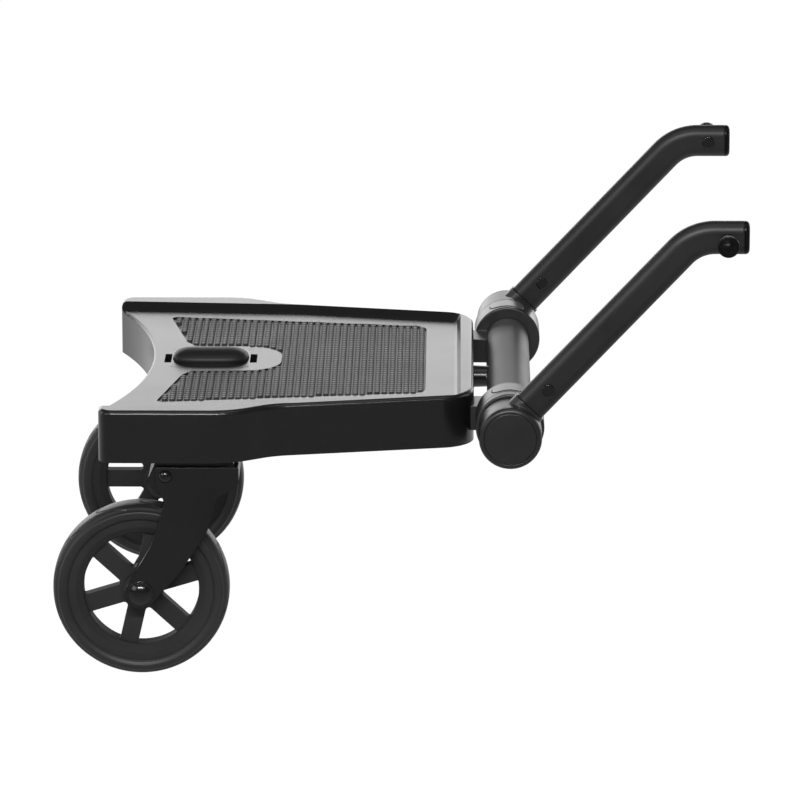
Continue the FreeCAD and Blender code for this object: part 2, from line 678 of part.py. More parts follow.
def make_deck():
    blank, core = deck_blank(), deck_core()
    shell = cut("deck_skin", blank, core)
    added = [shell, deck_ribs(core)]
    pad_reach = "(slot_reach + slot_length + 4)"
    added.append(box("grip_pad", (f"grip_x - {pad_reach}", f"grip_x + {pad_reach}"),
                     ("-(dish_half + 5)", "dish_half + 5"), (PAD_LOW, f"{FLOOR_LOW} + 0.5")))
    tools = [grip_hollow()]
    for side in (1, -1):
        y = f"{side} * {CASTER_Y}"
        added.append(upright("caster_boss", "boss_radius", "caster_x", y, DECK_LOW,
                             f"{FLOOR_LOW} + 0.5"))
        bush_top = f"{DECK_LOW} + stem_bush_height"
        tools.append(upright("bush_bore", "stem_bush_radius + seat_gap", "caster_x", y,
                             f"{DECK_LOW} - 1", bush_top))
        tools.append(upright("clip_room", "stem_bush_radius + 1", "caster_x", y, bush_top,
                             f"{DECK_LOW} + stem_height + boss_room"))
    for end in (1, -1):
        slot = f"grip_x + {end} * slot_reach"
        tools.append(box("end_slot", (f"{slot} - slot_length / 2", f"{slot} + slot_length / 2"),
                         ("-slot_width / 2", "slot_width / 2"), (f"{PAD_LOW} - 1", f"{FLOOR_TOP} + 1")))
        leg = f"grip_x + {end} * strap_reach"
        half = "(strap_thickness / 2 + strap_room)"
        tools.append(box("leg_slot", (f"{leg} - {half}", f"{leg} + {half}"),
                         ("-(strap_width / 2 + strap_room)", "strap_width / 2 + strap_room"),
                         (f"{PAD_LOW} - 1", f"{FLOOR_TOP} + 1")))
    boss = doc.addObject("Part::Cone", "centre_boss")
    bind(boss, Radius1="boss_root", Radius2="boss_tip", Height="hinge_reach + 1")
    boss.Placement = Placement(Vector(), Rotation(Vector(0, 1, 0), 90))
    place(boss, "deck_front - 1", "0", HINGE_Z)
    added.append(boss)
    tools.append(across("tube_clearance", "tube_radius + side_gap", HINGE_X, HINGE_Z, 1,
                        f"-{LUG_INNER}", LUG_INNER))
    for side in (1, -1):
        for level in (1, -1):
            z = f"{HINGE_Z} - lug_low + lug_height / 2 + {level} * bracket_screw_pitch / 2"
            tools.append(along("screw_hole", "bracket_screw_radius + seat_gap",
                               f"{side} * {SCREW_Y}", z, "deck_front - deck_wall - 1",
                               "deck_front + 1"))
    whole = fused("deck_whole", added)
    piece(cut("deck", whole, fused("deck_tools", tools)), "deck_shell")
    return blank


def tread_studs(mat):
    """The mat's round studs: a grid of them, less those that would cross the mat's edge."""
    doc.recompute()
    names = ("tread_radius", "tread_start", "tread_pitch_x", "tread_pitch_y", "mat_thickness / 2")
    radius, start, pitch_x, pitch_y, root = [number(name) for name in names]
    edge = Vector(number("mat_front"), 0, number(MAT_TOP))
    face = max(mat.Shape.Faces, key=lambda side: side.CenterOfMass.z)
    room = face.makeOffset2D(-radius)
    rows = int(number("mat_front - mat_rear") / pitch_x)
    columns = int(number("deck_half_rear - mat_rear_inset") / pitch_y)
    grid = [Vector(-start - row * pitch_x, column * pitch_y, 0)
            for row in range(rows) for column in range(-columns, columns + 1)]
    middles = [middle for middle in grid if room.isInside(edge + middle, 0.001, True)]
    height = root + number("tread_height")
    field = doc.addObject("Part::Feature", "tread_studs")
    field.Shape = Part.makeCompound([Part.makeCylinder(radius, height, middle - Vector(0, 0, root))
                                     for middle in middles])
    return place(field, "mat_front", "0", MAT_TOP)


def make_mat():
    mat = padded("mat", mat_outline("mat_gap"), MAT_LOW, MAT_TOP)
    piece(fused("mat_whole", [mat, tread_studs(mat)]), "tread_mat")


# Lift grip on two webbing legs.

def make_grip():
    body = padded("grip", rectangle("grip_length / 2", "grip_width / 2", "grip_corner"),
                  GRIP_LOW, f"{GRIP_LOW} + grip_height")
    place(body, "grip_x")
    middle = number(f"{GRIP_LOW} + grip_height / 2")
    for name, radius, upper in (("grip_crown_round", "grip_crown", True),
                                ("grip_edge_round", "grip_edge", False)):
        fillet(body, name, radius, lambda edge: edge.BoundBox.ZLength < 0.01
               and (edge.BoundBox.ZMin > middle) == upper)
    slots, legs, bars = [], [], []
    for end in (1, -1):
        x = f"grip_x + {end} * strap_reach"
        thick, wide = "strap_thickness / 2", "strap_width / 2"
        top = f"{GRIP_LOW} + strap_bite"
        bar_z = f"{PAD_LOW} - grip_travel - side_gap - strap_thickness - stop_radius"
        slots.append(box("grip_slot", (f"{x} - {thick} - seat_gap", f"{x} + {thick} + seat_gap"),
                         (f"-{wide} - seat_gap", f"{wide} + seat_gap"),
                         (f"{GRIP_LOW} - 1", f"{top} + seat_gap")))
        leg = box("leg_web", (f"{x} - {thick}", f"{x} + {thick}"), (f"-{wide}", wide), (bar_z, top))
        loop = across("leg_loop", "stop_radius + strap_thickness", x, bar_z, 1, f"-{wide}", wide)
        whole = fused("leg_whole", [leg, loop])
        hole = across("leg_hole", "stop_radius + seat_gap", x, bar_z, 1, f"-{FAR}", FAR)
        legs.append(cut("leg", whole, hole))
        bars.append(across("stop_bar", "stop_radius", x, bar_z, 1, "-stop_length / 2",
                           "stop_length / 2"))
    piece(cut("grip_bar", body, fused("grip_slots", slots)), "lift_grip")
    piece(grouped("legs", legs), "grip_straps")
    piece(grouped("bars", bars), "strap_stop_bars")


def grouped(name, things):
    """Separate solids that share one sub-part."""
    group = doc.addObject("Part::Compound", name)
    group.Links = things
    return group


# Casters.

def make_fork(side, label):
    x0, z0 = "caster_x", f"{side} * {CASTER_Y}"
    eye_x, eye_z = "eye_radius * sin(60)", "eye_radius * cos(60)"
    outline = [
        ("-fork_back", FORK_TOP, "fork_corner"),
        ("shoulder_x", f"{AXLE_Z} + shoulder_rise", "fork_round"),
        ("neck_x", f"{AXLE_Z} + neck_rise", "fork_round"),
        ("leg_back_x", f"{AXLE_Z} + leg_back_rise", "leg_round"),
        (f"-trail - {eye_x}", f"{AXLE_Z} + {eye_z}"),
        (f"-trail + {eye_x}", f"{AXLE_Z} - {eye_z}"),
        ("leg_low_x", f"{AXLE_Z} + leg_low_rise", "leg_round"),
        ("leg_front_x", f"{AXLE_Z} + leg_front_rise", "leg_round"),
        ("fork_chin_x", f"{FORK_TOP} - fork_chin", "fork_round"),
        ("fork_front", f"{FORK_TOP} - fork_brow", "fork_round"),
        ("fork_front", FORK_TOP, "fork_corner"),
    ]
    body = new_body(f"fork_{label}_body")
    sketch = new_sketch(body, "fork_outline", "XZ_Plane")
    draw_outline(sketch, outline)
    extrude(body, "Pad", "fork_block", sketch, f"2 * {FORK_HALF}", symmetric=True)
    eye = new_sketch(body, "fork_eye", "XZ_Plane")
    draw_circle(eye, "-trail", AXLE_Z, "eye_radius")
    extrude(body, "Pad", "fork_eye_pad", eye, f"2 * {FORK_HALF}", symmetric=True)
    gap = new_sketch(body, "fork_gap_outline", "XZ_Plane")
    draw_outline(gap, [
        ("fork_front - fork_web", f"{FORK_TOP} + {FAR}"),
        (f"-{FAR}", f"{FORK_TOP} + {FAR}"),
        (f"-{FAR}", f"-{FAR}"),
        (FAR, f"-{FAR}"),
        (FAR, f"{FORK_TOP} - web_depth"),
        ("fork_chin_x - fork_web - 3", f"{FORK_TOP} - web_depth"),
        ("fork_chin_x - fork_web", f"{FORK_TOP} - fork_chin"),
        ("fork_front - fork_web", f"{FORK_TOP} - fork_brow"),
    ])
    extrude(body, "Pocket", "fork_inside", gap, "fork_gap", symmetric=True)
    place(body, x0, z0)
    holes = [across("axle_hole", "axle_radius + seat_gap", AXLE_X, AXLE_Z, side,
                    f"{CASTER_Y} - {FORK_HALF} - 1", f"{CASTER_Y} + {FORK_HALF} + 1"),
             across("bolt_hole", "fork_bolt_radius + seat_gap", "caster_x + fork_bolt_x",
                    f"{FORK_TOP} - fork_bolt_drop", side, f"{CASTER_Y} - {FORK_HALF} - 1",
                    f"{CASTER_Y} + {FORK_HALF} + 1")]
    piece(cut("fork", body, fused("fork_holes", holes)), f"fork_{label}")


def make_swivel_head(side, label):
    body = new_body(f"swivel_head_{label}_body")
    sketch = new_sketch(body, "head_outline", "XZ_Plane")
    front = "fork_front - fork_web - seat_gap"
    draw_outline(sketch, [
        (front, HEAD_TOP, "fork_corner"),
        ("-fork_back", HEAD_TOP, "fork_corner"),
        ("-head_back", f"{FORK_TOP} - head_lug_drop", "head_round"),
        ("-fork_back", f"{FORK_TOP} - head_depth", "head_round"),
        ("head_nose_x", f"{FORK_TOP} - head_depth + 2", "fork_corner"),
        (front, f"{FORK_TOP} - fork_brow + 3", "fork_corner"),
    ])
    extrude(body, "Pad", "head_block", sketch, "fork_gap - 2 * seat_gap", symmetric=True)
    place(body, "caster_x", f"{side} * {CASTER_Y}")
    holes = [upright("stem_hole", "stem_radius + seat_gap", "caster_x", f"{side} * {CASTER_Y}",
                     f"{FORK_TOP} - stem_seat", f"{DECK_TOP}"),
             across("bolt_way", "fork_bolt_radius + seat_gap", "caster_x + fork_bolt_x",
                    f"{FORK_TOP} - fork_bolt_drop", side, f"{CASTER_Y} - {FORK_HALF}",
                    f"{CASTER_Y} + {FORK_HALF}")]
    piece(cut("swivel_head", body, fused("head_holes", holes)), f"swivel_head_{label}")


def make_stem(side, label):
    y = f"{side} * {CASTER_Y}"
    groove_low = f"{DECK_LOW} + stem_bush_height + side_gap"
    groove_high = f"{groove_low} + clip_thickness"
    top = f"{DECK_LOW} + stem_height"
    neck = "stem_radius - clip_groove"
    piece(lathe_z(f"stem_{label}", [
        ("0", f"{FORK_TOP} - stem_seat"), ("stem_radius", f"{FORK_TOP} - stem_seat"),
        ("stem_radius", groove_low), (neck, groove_low), (neck, groove_high),
        ("stem_radius", groove_high), ("stem_radius", top, "clip_groove"), ("0", top),
    ], "caster_x", y), f"caster_stem_{label}")
    inner, outer = "stem_radius + running_gap", "stem_bush_radius"
    bush_top = f"{DECK_LOW} + stem_bush_height"
    piece(lathe_z(f"stem_bush_{label}_body", [
        (inner, f"{DECK_LOW} - stem_flange"), ("stem_flange_radius", f"{DECK_LOW} - stem_flange"),
        ("stem_flange_radius", DECK_LOW), (outer, DECK_LOW), (outer, bush_top), (inner, bush_top),
    ], "caster_x", y), f"stem_bush_{label}")
    ring = lathe_z(f"clip_{label}", [
        (f"{neck} + seat_gap", groove_low), ("clip_radius", groove_low),
        ("clip_radius", f"{groove_high} - seat_gap"), (f"{neck} + seat_gap", f"{groove_high} - seat_gap"),
    ], "caster_x", y)
    mouth = box("clip_mouth", ("caster_x", f"caster_x + {FAR}"),
                (f"{y} - ({neck})", f"{y} + ({neck})"), (groove_low, groove_high))
    piece(cut("stem_clip", ring, mouth), f"stem_clip_{label}")


def make_fork_bolt(side, label):
    x, z = "caster_x + fork_bolt_x", f"{FORK_TOP} - fork_bolt_drop"
    out = FORK_HALF
    piece(lathe_y(f"fork_bolt_{label}_body", side, [
        ("0", f"-{out} - fork_bolt_tail"), ("fork_bolt_radius", f"-{out} - fork_bolt_tail"),
        ("fork_bolt_radius", out), *dome("fork_bolt_head", out, "fork_bolt_dome"),
    ], x, CASTER_Y, z), f"fork_bolt_{label}")
    nut = new_body(f"fork_nut_{label}_body")
    sketch = new_sketch(nut, "nut_outline", "XZ_Plane", f"-{side} * ({CASTER_Y} - {out})")
    corners = [(f"fork_bolt_head * cos({60 * i})", f"fork_bolt_head * sin({60 * i})") for i in range(6)]
    draw_outline(sketch, corners)
    hole = new_sketch(nut, "nut_hole", "XZ_Plane", f"-{side} * ({CASTER_Y} - {out})")
    draw_circle(hole, "0", "0", "fork_bolt_radius + seat_gap")
    extrude(nut, "Pad", "nut_block", sketch, "fork_nut_height", reverse=side < 0)
    extrude(nut, "Pocket", "nut_bore", hole, f"2 * {FAR}", symmetric=True)
    piece(place(nut, x, "0", z), f"fork_nut_{label}")


def make_axle(side, label):
    out, cap, ring = FORK_HALF, "(axle_cap_height - axle_ring)", "axle_ring_radius"
    tip = f"-{out} - axle_cap_height + axle_short"
    nut_floor = f"-{out} - axle_cap_height + 2 * axle_short / 3"
    piece(lathe_y(f"axle_{label}_body", side, [
        ("0", tip), ("axle_radius", tip), ("axle_radius", out), (ring, out),
        (ring, f"{out} + axle_ring", "axle_ring / 2"), *dome("axle_cap_radius", f"{out} + axle_ring", cap),
    ], AXLE_X, CASTER_Y, AXLE_Z), f"axle_{label}")
    piece(lathe_y(f"axle_nut_{label}_body", side, [
        ("axle_radius + seat_gap", f"-{out}"), (ring, f"-{out}"),
        (ring, f"-{out} - axle_ring", "axle_ring / 2"),
        *dome("axle_cap_radius", f"-{out} - axle_ring", cap, -1),
        ("0", nut_floor), ("axle_radius + seat_gap", nut_floor),
    ], AXLE_X, CASTER_Y, AXLE_Z), f"axle_nut_{label}")
    near, far = "hub_length / 2 + bush_flange + side_gap", "fork_gap / 2"
    rings = []
    for face in (1, -1):
        rings.append(lathe_y(f"spacer_{label}", side, [
            ("axle_radius + seat_gap", f"{face} * ({near})"), ("spacer_radius", f"{face} * ({near})"),
            ("spacer_radius", f"{face} * {far}"), ("axle_radius + seat_gap", f"{face} * {far}"),
        ], AXLE_X, CASTER_Y, AXLE_Z))
    piece(grouped("spacers", rings), f"axle_spacers_{label}")


# Wheels.

def make_wheel(side, label):
    y = f"{side} * {CASTER_Y}"
    half, bead, inner = "tyre_width / 2", "tyre_bead / 2", "seam_radius + seat_gap"
    wall = "seam_radius + 0.35 * (wheel_radius - seam_radius)"
    tyre = new_body(f"tyre_{label}_body")
    revolve(tyre, "tyre_section", [
        (inner, f"-{bead}"), (wall, f"-{half}", "tyre_width / 10"),
        ("wheel_radius", f"-{half} + tread_fall", "tread_round"),
        ("wheel_radius", f"{half} - tread_fall", "tread_round"),
        (wall, half, "tyre_width / 10"), (inner, bead),
    ])
    piece(place(tyre, AXLE_X, y, AXLE_Z), f"tyre_{label}")

    rim = new_body(f"rim_{label}_body")
    bore = "wheel_bush_radius + seat_gap"
    revolve(rim, "rim_hub", [
        (bore, "-hub_length / 2"), ("hub_radius", "-hub_length / 2", "hub_edge"),
        ("hub_radius", "hub_length / 2", "hub_edge"), (bore, "hub_length / 2"),
    ])
    disc = new_sketch(rim, "web_outline", "XZ_Plane")
    draw_circle(disc, "0", "0", "rim_opening + spoke_bury")
    draw_circle(disc, "0", "0", "hub_radius - spoke_bury")
    extrude(rim, "Pad", "web", disc, "spoke_depth", symmetric=True)
    sketch = new_sketch(rim, "opening_outline", "XZ_Plane")
    half, turn_ = "(spoke_width / 2)", "(180 / spoke_count)"
    reach = f"sqrt(rim_opening * rim_opening - {half} * {half})"
    crown = f"(rim_opening * rim_opening / ({reach} * cos({turn_}) + {half} * sin({turn_})))"
    draw_outline(sketch, [
        (f"{half} / tan({turn_})", half, "spoke_fillet"), (reach, half, "opening_corner"),
        (f"{crown} * cos({turn_})", f"{crown} * sin({turn_})", "0.72 * rim_opening"),
        (f"{reach} * cos(2 * {turn_}) + {half} * sin(2 * {turn_})",
         f"{reach} * sin(2 * {turn_}) - {half} * cos(2 * {turn_})", "opening_corner"),
    ])
    opening = extrude(rim, "Pocket", "opening", sketch, f"2 * {FAR}", symmetric=True)
    doc.recompute()
    spokes = rim.newObject("PartDesign::PolarPattern", "spokes")
    spokes.Originals = [opening]
    spokes.Axis = (sketch, ["N_Axis"])
    spokes.Angle = 360
    spokes.setExpression("Occurrences", bound("spoke_count"))
    rim.Tip = spokes
    doc.recompute()
    lip, core, edge = "rim_width / 2", "rim_core / 2", "seam_radius"
    shoulder = "seam_radius - rim_lip"
    revolve(rim, "rim_ring", [
        (edge, f"-{bead}"), (shoulder, f"-{lip}", "2 * rim_round"),
        ("rim_opening", f"-{core}", "rim_round"), ("rim_opening", core, "rim_round"),
        (shoulder, lip, "2 * rim_round"), (edge, bead),
    ])
    turn(rim, (0, -1, 0), f"spoke_turn_{label}")
    piece(place(rim, AXLE_X, y, AXLE_Z), f"rim_{label}")

    bushes = []
    for face in (1, -1):
        end = "hub_length / 2"
        bushes.append(lathe_y(f"bush_{label}", side, [
            ("axle_radius + running_gap", f"{face} * ({end} - wheel_bush_length)"),
            ("wheel_bush_radius", f"{face} * ({end} - wheel_bush_length)"),
            ("wheel_bush_radius", f"{face} * {end}"), ("bush_flange_radius", f"{face} * {end}"),
            ("bush_flange_radius", f"{face} * ({end} + bush_flange)"),
            ("axle_radius + running_gap", f"{face} * ({end} + bush_flange)"),
        ], AXLE_X, CASTER_Y, AXLE_Z))
    piece(grouped("bushes", bushes), f"wheel_bushes_{label}")


# Hinge at the front: brackets, bands, buttons, cross tube.

def make_bracket(side, label, deck):
    ring = lathe_y(f"collar_{label}", side, [
        ("tube_radius + running_gap", COLLAR_INNER),
        ("collar_radius", COLLAR_INNER, "collar_edge"),
        ("collar_radius", COLLAR_OUTER, "collar_seam"),
        ("tube_radius + running_gap", COLLAR_OUTER),
    ], HINGE_X, "0", HINGE_Z)
    span = (LUG_INNER, f"{COLLAR_INNER} + 1") if side > 0 else (f"-({COLLAR_INNER} + 1)", f"-{LUG_INNER}")
    low = f"{HINGE_Z} - lug_low"
    block = box("lug_block", ("deck_front - front_corner", HINGE_X), span, (low, f"{low} + lug_height"))
    tools = [deck, across("lug_saddle", "tube_radius + running_gap", HINGE_X, HINGE_Z, side,
                          f"{LUG_INNER} - 1", f"{COLLAR_OUTER} + 1")]
    well = padded(f"button_well_{label}",
                  rectangle("button_length / 2 + button_gap", "button_width / 2 + button_gap",
                            "button_corner + button_gap"),
                  f"{HINGE_Z} + button_well", f"{HINGE_Z} + collar_radius + 5")
    tools.append(place(well, HINGE_X, f"{side} * {BUTTON_Y}"))
    for level in (1, -1):
        z = f"{HINGE_Z} - lug_low + lug_height / 2 + {level} * bracket_screw_pitch / 2"
        tools.append(along("screw_way", "bracket_screw_radius + seat_gap", f"{side} * {SCREW_Y}",
                           z, "deck_front - 1", "deck_front + bracket_screw_bite + seat_gap"))
    whole = fused("bracket_whole", [ring, block])
    piece(cut("bracket", whole, fused("bracket_tools", tools)), f"hinge_bracket_{label}")
    piece(lathe_y(f"band_{label}_body", side, [
        ("tube_radius + running_gap", COLLAR_OUTER),
        ("collar_radius", COLLAR_OUTER, "collar_seam"),
        ("collar_radius", f"{COLLAR_OUTER} + band_width", "collar_edge"),
        ("tube_radius + running_gap", f"{COLLAR_OUTER} + band_width"),
    ], HINGE_X, "0", HINGE_Z), f"collar_band_{label}")


def make_button(side, label):
    blank = padded(f"button_{label}_blank",
                   rectangle("button_length / 2", "button_width / 2", "button_corner"),
                   f"{HINGE_Z} + button_rise", f"{HINGE_Z} + collar_radius + 5")
    place(blank, HINGE_X, f"{side} * {BUTTON_Y}")
    skin = across("button_skin", "collar_radius + button_proud", HINGE_X, HINGE_Z, side,
                   COLLAR_INNER, COLLAR_OUTER)
    piece(common("button", [blank, skin]), f"release_button_{label}")
    low, high = f"{HINGE_Z} + button_well", f"{HINGE_Z} + button_rise"
    y = f"{side} * {BUTTON_Y}"
    outer = upright("spring_outer", "spring_radius", HINGE_X, y, low, high)
    inner = upright("spring_inner", "spring_radius - spring_wire", HINGE_X, y, low, high)
    piece(cut("spring", outer, inner), f"button_spring_{label}")


def make_bracket_screws():
    screws = []
    for side in (1, -1):
        for level in (1, -1):
            y = f"{side} * {SCREW_Y}"
            z = f"{HINGE_Z} - lug_low + lug_height / 2 + {level} * bracket_screw_pitch / 2"
            wall = "deck_front - deck_wall"
            shank = along("screw_shank", "bracket_screw_radius", y, z, f"{wall} - 0.5",
                          "deck_front + bracket_screw_bite")
            head = along("screw_head", "bracket_screw_head", y, z, f"{wall} - bracket_screw_cap", wall)
            screws.append(fused("bracket_screw", [shank, head]))
    piece(grouped("screws", screws), "bracket_screws")


def make_cross_tube():
    end = f"{HUB_OUTER} - hub_screw_cap - hub_end_wall"
    outer = across("tube_outer", "tube_radius", HINGE_X, HINGE_Z, 1, f"-({end})", end)
    inner_end = f"{end} - tube_plug"
    inner = across("tube_inner", "tube_radius - tube_wall", HINGE_X, HINGE_Z, 1, f"-({inner_end})",
                   inner_end)
    bore = across("tube_thread", "hub_screw_radius + seat_gap", HINGE_X, HINGE_Z, 1, f"-{FAR}", FAR)
    piece(cut("tube", outer, fused("tube_tools", [inner, bore])), "cross_tube")


# Arms and their hubs.

def arm_frame(body, side):
    """Set a body whose X runs up the arm, from the point nearest the tube's axis."""
    turn(body, (0, -1, 0), "arm_angle")
    return place(body, f"{HINGE_X} - arm_offset * sin(arm_angle)", f"{side} * {ARM_Y}",
                 f"{HINGE_Z} + arm_offset * cos(arm_angle)")


def oval(inset="0"):
    """The arm tube's section, (across, up), less an inset."""
    return rectangle(f"arm_width / 2 - ({inset})", f"arm_height / 2 - ({inset})",
                     f"arm_round - ({inset})")


def oval_pad(body, name, inset, low, high):
    sketch = new_sketch(body, name + "_section", "YZ_Plane", low)
    draw_outline(sketch, oval(inset))
    return extrude(body, "Pad", name, sketch, f"({high}) - ({low})")


def make_hub(side, label):
    inner, outer = HUB_INNER, HUB_OUTER
    collar = lathe_y(f"hub_collar_{label}", side, [
        ("tube_radius / 2", inner), ("hub_collar_radius", inner, "collar_edge"),
        ("hub_collar_radius", outer), ("tube_radius / 2", outer),
    ], HINGE_X, "0", HINGE_Z)
    neck = new_body(f"hub_neck_{label}")
    oval_pad(neck, "neck", "-flare", "tube_radius / 2", "arm_base")
    oval_pad(neck, "spigot", "arm_wall + spigot_gap", "arm_base - 1", "arm_base + spigot_length")
    arm_frame(neck, side)
    end = f"{HUB_OUTER} - hub_screw_cap - hub_end_wall"
    tools = [across("hub_bore", "tube_radius + seat_gap", HINGE_X, HINGE_Z, side,
                    f"{inner} - 1", end),
             across("hub_thread", "hub_screw_radius + seat_gap", HINGE_X, HINGE_Z, side, inner,
                    f"{outer} + 1"),
             across("hub_sink", "hub_screw_head + seat_gap", HINGE_X, HINGE_Z, side,
                    f"{outer} - hub_screw_cap", f"{outer} + 1"),
             across("hub_rivet_way", "rivet_radius + seat_gap", RIVET_X, RIVET_Z, side,
                    f"{ARM_INNER} - 1", f"{ARM_OUTER} + 1")]
    whole = fused("hub_whole", [collar, neck])
    piece(cut("hub", whole, fused("hub_tools", tools)), f"arm_hub_{label}")
    piece(lathe_y(f"hub_screw_{label}_body", side, [
        ("0", f"{end} - tube_plug + 2"), ("hub_screw_radius", f"{end} - tube_plug + 2"),
        ("hub_screw_radius", f"{outer} - hub_screw_cap"), ("hub_screw_head", f"{outer} - hub_screw_cap"),
        ("hub_screw_head", f"{outer} - 0.5"), ("0", f"{outer} - 0.5"),
    ], HINGE_X, "0", HINGE_Z), f"hub_screw_{label}")
    top = f"{outer} + end_cap_height"
    piece(lathe_y(f"end_cap_{label}_body", side, [
        ("0", outer), ("hub_collar_radius", outer), ("hub_collar_radius", top, "end_cap_round"),
        ("end_disc + end_groove", top), ("end_disc + end_groove", f"{top} - end_groove"),
        ("end_disc", f"{top} - end_groove"), ("end_disc", top), ("0", top),
    ], HINGE_X, "0", HINGE_Z), f"hub_end_cap_{label}")


def make_arm(side, label):
    body = new_body(f"arm_{label}_body")
    spine = new_sketch(body, "arm_line", "XZ_Plane")
    bend = "arm_base + arm_run"
    draw_outline(spine, [
        ("arm_base", "0"), (bend, "0", "arm_bend"),
        (f"{bend} + arm_tip_run * cos(arm_angle)", "-arm_tip_run * sin(arm_angle)"),
    ], closed=False)
    section = new_sketch(body, "arm_section", "YZ_Plane", "arm_base")
    draw_outline(section, oval())
    draw_outline(section, oval("arm_wall"))
    sweep = body.newObject("PartDesign::AdditivePipe", "arm_sweep")
    sweep.Profile = section
    sweep.Spine = spine
    arm_frame(body, side)
    tools = [across("rivet_hole", "rivet_radius + seat_gap", RIVET_X, RIVET_Z, side,
                    f"{ARM_INNER} - 1", f"{ARM_OUTER} + 1"),
             across("stud_hole", "stud_tail + seat_gap", STUD_X, BEND_Z, side, ARM_Y,
                    f"{ARM_OUTER} + 1"),
             across("stud_screw_hole", "stud_screw_radius + seat_gap", STUD_X, BEND_Z, side,
                    f"{ARM_INNER} - 1", ARM_Y)]
    piece(cut("arm", body, fused("arm_holes", tools)), f"arm_tube_{label}")


def make_arm_plug(side, label):
    body = new_body(f"arm_plug_{label}_body")
    start = f"{BEND_X} + arm_tip_run"
    oval_pad(body, "plug_face", "0", start, f"{start} + plug_height")
    end = number(f"{start} + plug_height")
    fillet(body, "plug_rounds", "plug_round", lambda edge: abs(edge.BoundBox.XMin - end) < 0.01)
    oval_pad(body, "plug_spigot", "arm_wall + spigot_gap", f"{start} - plug_depth", f"{start} + 1")
    piece(place(body, "0", f"{side} * {ARM_Y}", BEND_Z), f"arm_plug_{label}")


def make_stud(side, label):
    post, head = f"{ARM_OUTER} + stud_post", f"{ARM_OUTER} + stud_post + stud_head"
    tail = f"{ARM_INNER} + arm_wall"
    bore = "stud_screw_radius + seat_gap"
    piece(lathe_y(f"stud_{label}_body", side, [
        (bore, tail), ("stud_tail", tail), ("stud_tail", ARM_OUTER), ("stud_radius", ARM_OUTER),
        ("stud_radius", post), ("stud_head_radius", post), ("stud_head_radius", head, "stud_edge"),
        *dome("stud_cap_radius", head, "stud_dome"), ("0", post), (bore, post),
    ], STUD_X, "0", BEND_Z), f"stud_{label}")
    cap = f"{ARM_INNER} - stud_screw_cap"
    piece(lathe_y(f"stud_screw_{label}_body", side, [
        ("0", cap), ("stud_screw_head", cap, "screw_edge"), ("stud_screw_head", ARM_INNER),
        ("stud_screw_radius", ARM_INNER), ("stud_screw_radius", f"{post} - 1"), ("0", f"{post} - 1"),
    ], STUD_X, "0", BEND_Z), f"stud_screw_{label}")


def make_rivet(side, label):
    low, high = f"{ARM_INNER} - rivet_cap", f"{ARM_OUTER} + rivet_cap"
    piece(lathe_y(f"rivet_{label}", side, [
        ("0", low), ("rivet_head", low, "screw_edge"), ("rivet_head", ARM_INNER),
        ("rivet_radius", ARM_INNER), ("rivet_radius", ARM_OUTER), ("rivet_head", ARM_OUTER),
        ("rivet_head", high, "screw_edge"), ("0", high),
    ], RIVET_X, "0", RIVET_Z), f"arm_rivet_{label}")


# Build, check and write.

deck = make_deck()
make_mat()
make_grip()
make_bracket_screws()
make_cross_tube()
for side, label in ((1, "left"), (-1, "right")):
    make_bracket(side, label, deck)
    make_button(side, label)
    for make in (make_fork, make_swivel_head, make_stem, make_fork_bolt, make_axle, make_wheel,
                 make_hub, make_arm, make_arm_plug, make_stud, make_rivet):
        make(side, label)
doc.recompute()

failed = [thing.Label for thing in doc.Objects if {"Invalid", "Error"} & set(thing.State)]
for label, thing in pieces.items():
    if thing.Shape.isNull() or not thing.Shape.isValid() or not thing.Shape.Solids:
        failed.append(label)
if failed:
    raise RuntimeError(f"not built: {sorted(set(failed))}")
os.makedirs("parts", exist_ok=True)
for label, thing in pieces.items():
    thing.Shape.exportStep(os.path.join("parts", f"{label}.step"))
print(len(pieces), "sub-parts")
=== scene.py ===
"""Buggy board: looks, floor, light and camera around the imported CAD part. Metres, in the part's frame."""
import json
import math

import bmesh
import bpy
import numpy as np
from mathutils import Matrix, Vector
from mathutils.bvhtree import BVHTree

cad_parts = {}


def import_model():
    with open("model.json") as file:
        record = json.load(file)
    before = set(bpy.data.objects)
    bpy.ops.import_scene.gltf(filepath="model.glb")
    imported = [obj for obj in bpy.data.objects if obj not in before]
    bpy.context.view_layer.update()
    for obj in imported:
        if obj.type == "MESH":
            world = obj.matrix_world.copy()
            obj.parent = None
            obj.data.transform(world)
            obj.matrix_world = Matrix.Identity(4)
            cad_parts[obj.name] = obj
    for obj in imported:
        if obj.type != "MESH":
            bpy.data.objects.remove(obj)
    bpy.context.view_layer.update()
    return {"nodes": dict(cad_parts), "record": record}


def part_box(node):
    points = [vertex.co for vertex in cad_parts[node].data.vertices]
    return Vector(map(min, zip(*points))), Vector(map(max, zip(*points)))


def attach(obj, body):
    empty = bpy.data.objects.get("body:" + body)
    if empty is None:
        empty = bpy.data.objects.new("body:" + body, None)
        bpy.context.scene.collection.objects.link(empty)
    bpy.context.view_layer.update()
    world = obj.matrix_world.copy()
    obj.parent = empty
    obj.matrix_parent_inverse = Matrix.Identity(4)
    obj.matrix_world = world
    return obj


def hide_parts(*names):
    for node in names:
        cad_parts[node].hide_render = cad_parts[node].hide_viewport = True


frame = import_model()
NODES = frame["nodes"]
SIDES = ("left", "right")
MM = 0.001

# Camera, fitted to the wheels and hub circles of the photograph. Its lens and sensor are in mm.
CAMERA_AIM = Vector((0, 0, 0.1933))
CAMERA_DISTANCE = 5.099
CAMERA_ELEVATION = math.radians(15)
CAMERA_TURN = math.radians(0.54)
CAMERA_LENS = 262.9
CAMERA_SENSOR = 36
CAMERA_REACH = 100

